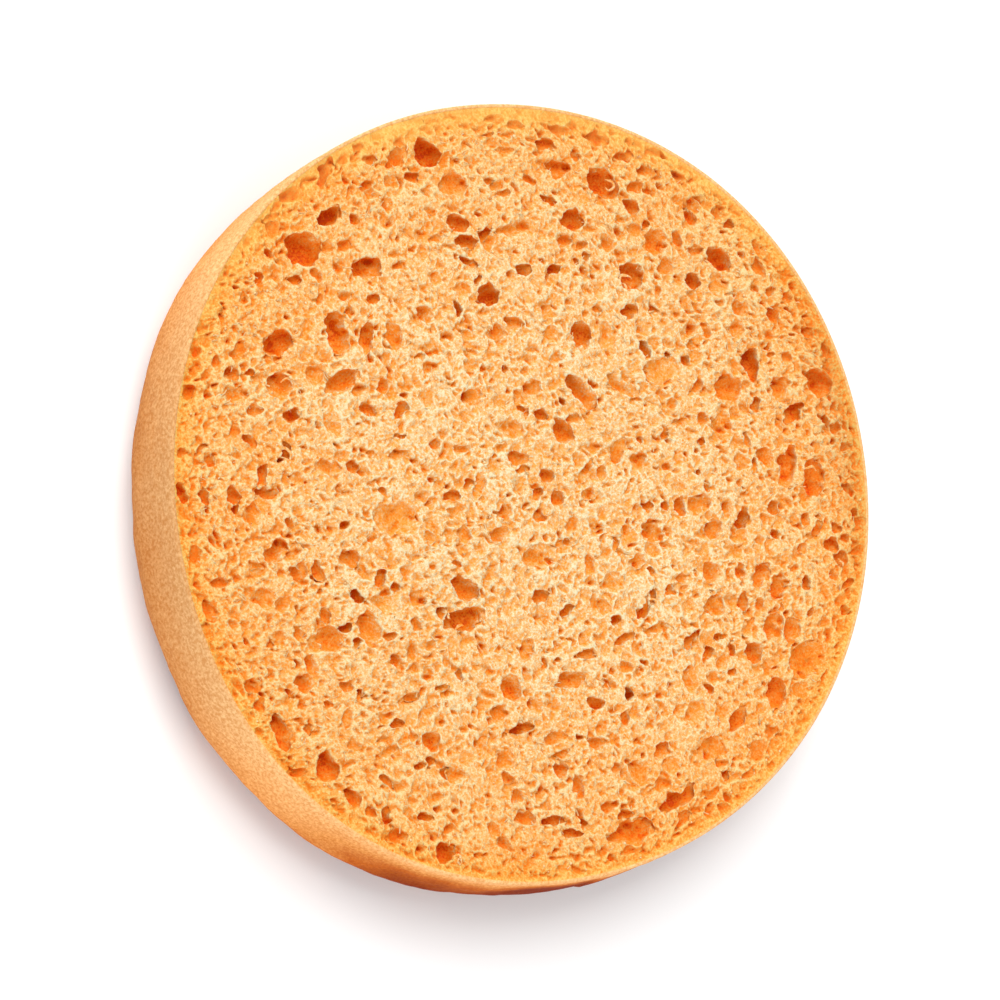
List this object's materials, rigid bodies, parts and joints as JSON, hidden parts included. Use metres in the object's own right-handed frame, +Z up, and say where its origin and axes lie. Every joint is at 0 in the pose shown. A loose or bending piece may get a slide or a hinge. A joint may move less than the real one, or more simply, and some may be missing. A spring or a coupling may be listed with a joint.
{
  "type": "bread bun half",
  "caption": "Bottom half of a round soft bread bun, lying cut face up: open crumb full of gas pockets inside a thin tan crust.",
  "frame": {"origin": "under the middle of the bun, on the surface it lies on", "axes": "+Z up, out of the cut face; +X and +Y across the bun"},
  "size_m": [0.1002, 0.1006, 0.014],
  "materials": {
    "bread": "matte soft open crumb, cream to orange in its pockets, with a thin fine-grained tan crust round the side"
  },
  "bodies": {
    "root": {"bun_half": "bread"}
  },
  "joints": []
}
